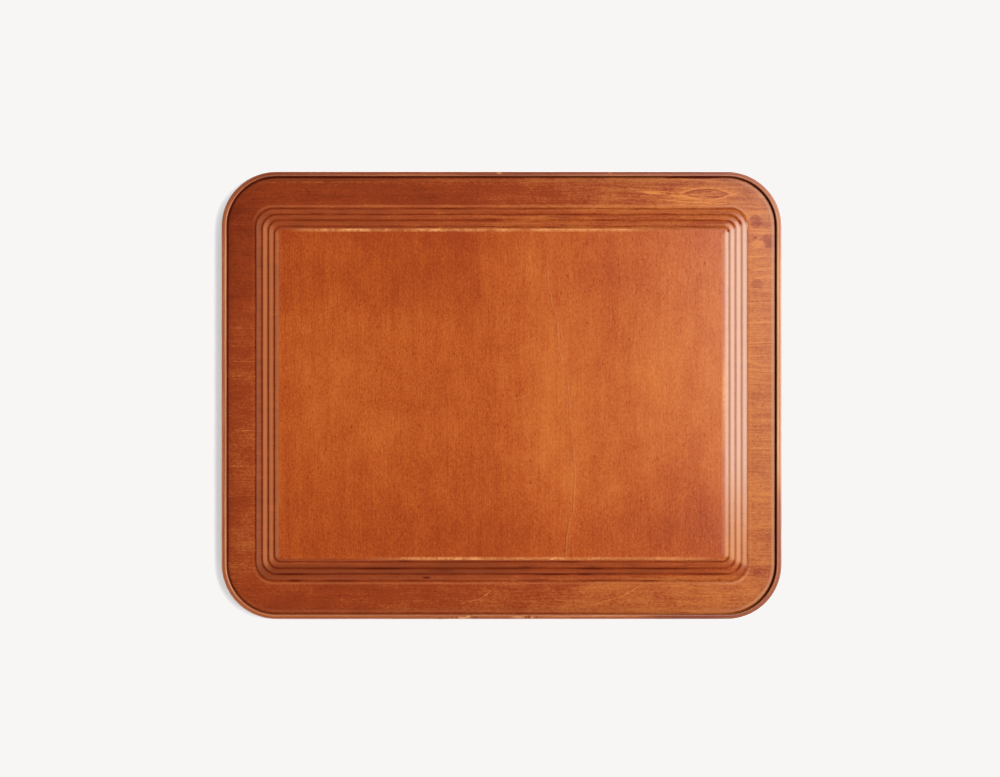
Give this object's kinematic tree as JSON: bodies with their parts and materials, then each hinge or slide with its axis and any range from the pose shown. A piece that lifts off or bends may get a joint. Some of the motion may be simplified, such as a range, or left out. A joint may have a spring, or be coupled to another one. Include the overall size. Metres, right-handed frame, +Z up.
{
  "type": "wooden serving tray",
  "caption": "Shallow rectangular wooden serving tray: thin bent rim, flat flange and a raised centre panel inside a stepped, beaded moulding.",
  "frame": {"origin": "centre of the footprint, on the surface the tray stands on", "axes": "+X along the tray's length, +Y across it, +Z up, out of the serving side"},
  "size_m": [0.45, 0.3592, 0.015],
  "materials": {
    "rim_outer": "satin stained and lacquered birch, brown",
    "rim_inner": "satin stained and lacquered birch, lighter brown",
    "back_veneer": "thin stain, matt",
    "inner_veneer": "birch, stained where it shows",
    "flange_veneer": "satin red-brown stain, grain along the length",
    "moulding_veneer": "satin red-brown stain, darker in the grooves",
    "centre_veneer": "satin orange-brown stain, mottled, grain across the width"
  },
  "bodies": {
    "root": {"rim_outer_strip": "rim_outer", "rim_inner_strip_upper": "rim_inner", "rim_inner_strip_lower": "rim_inner", "back_ply": "back_veneer", "lower_cross_ply": "inner_veneer", "core_ply": "inner_veneer", "flange_ply": "flange_veneer", "moulding_ply_lower": "moulding_veneer", "moulding_ply_upper": "moulding_veneer", "centre_panel": "centre_veneer"}
  },
  "joints": []
}
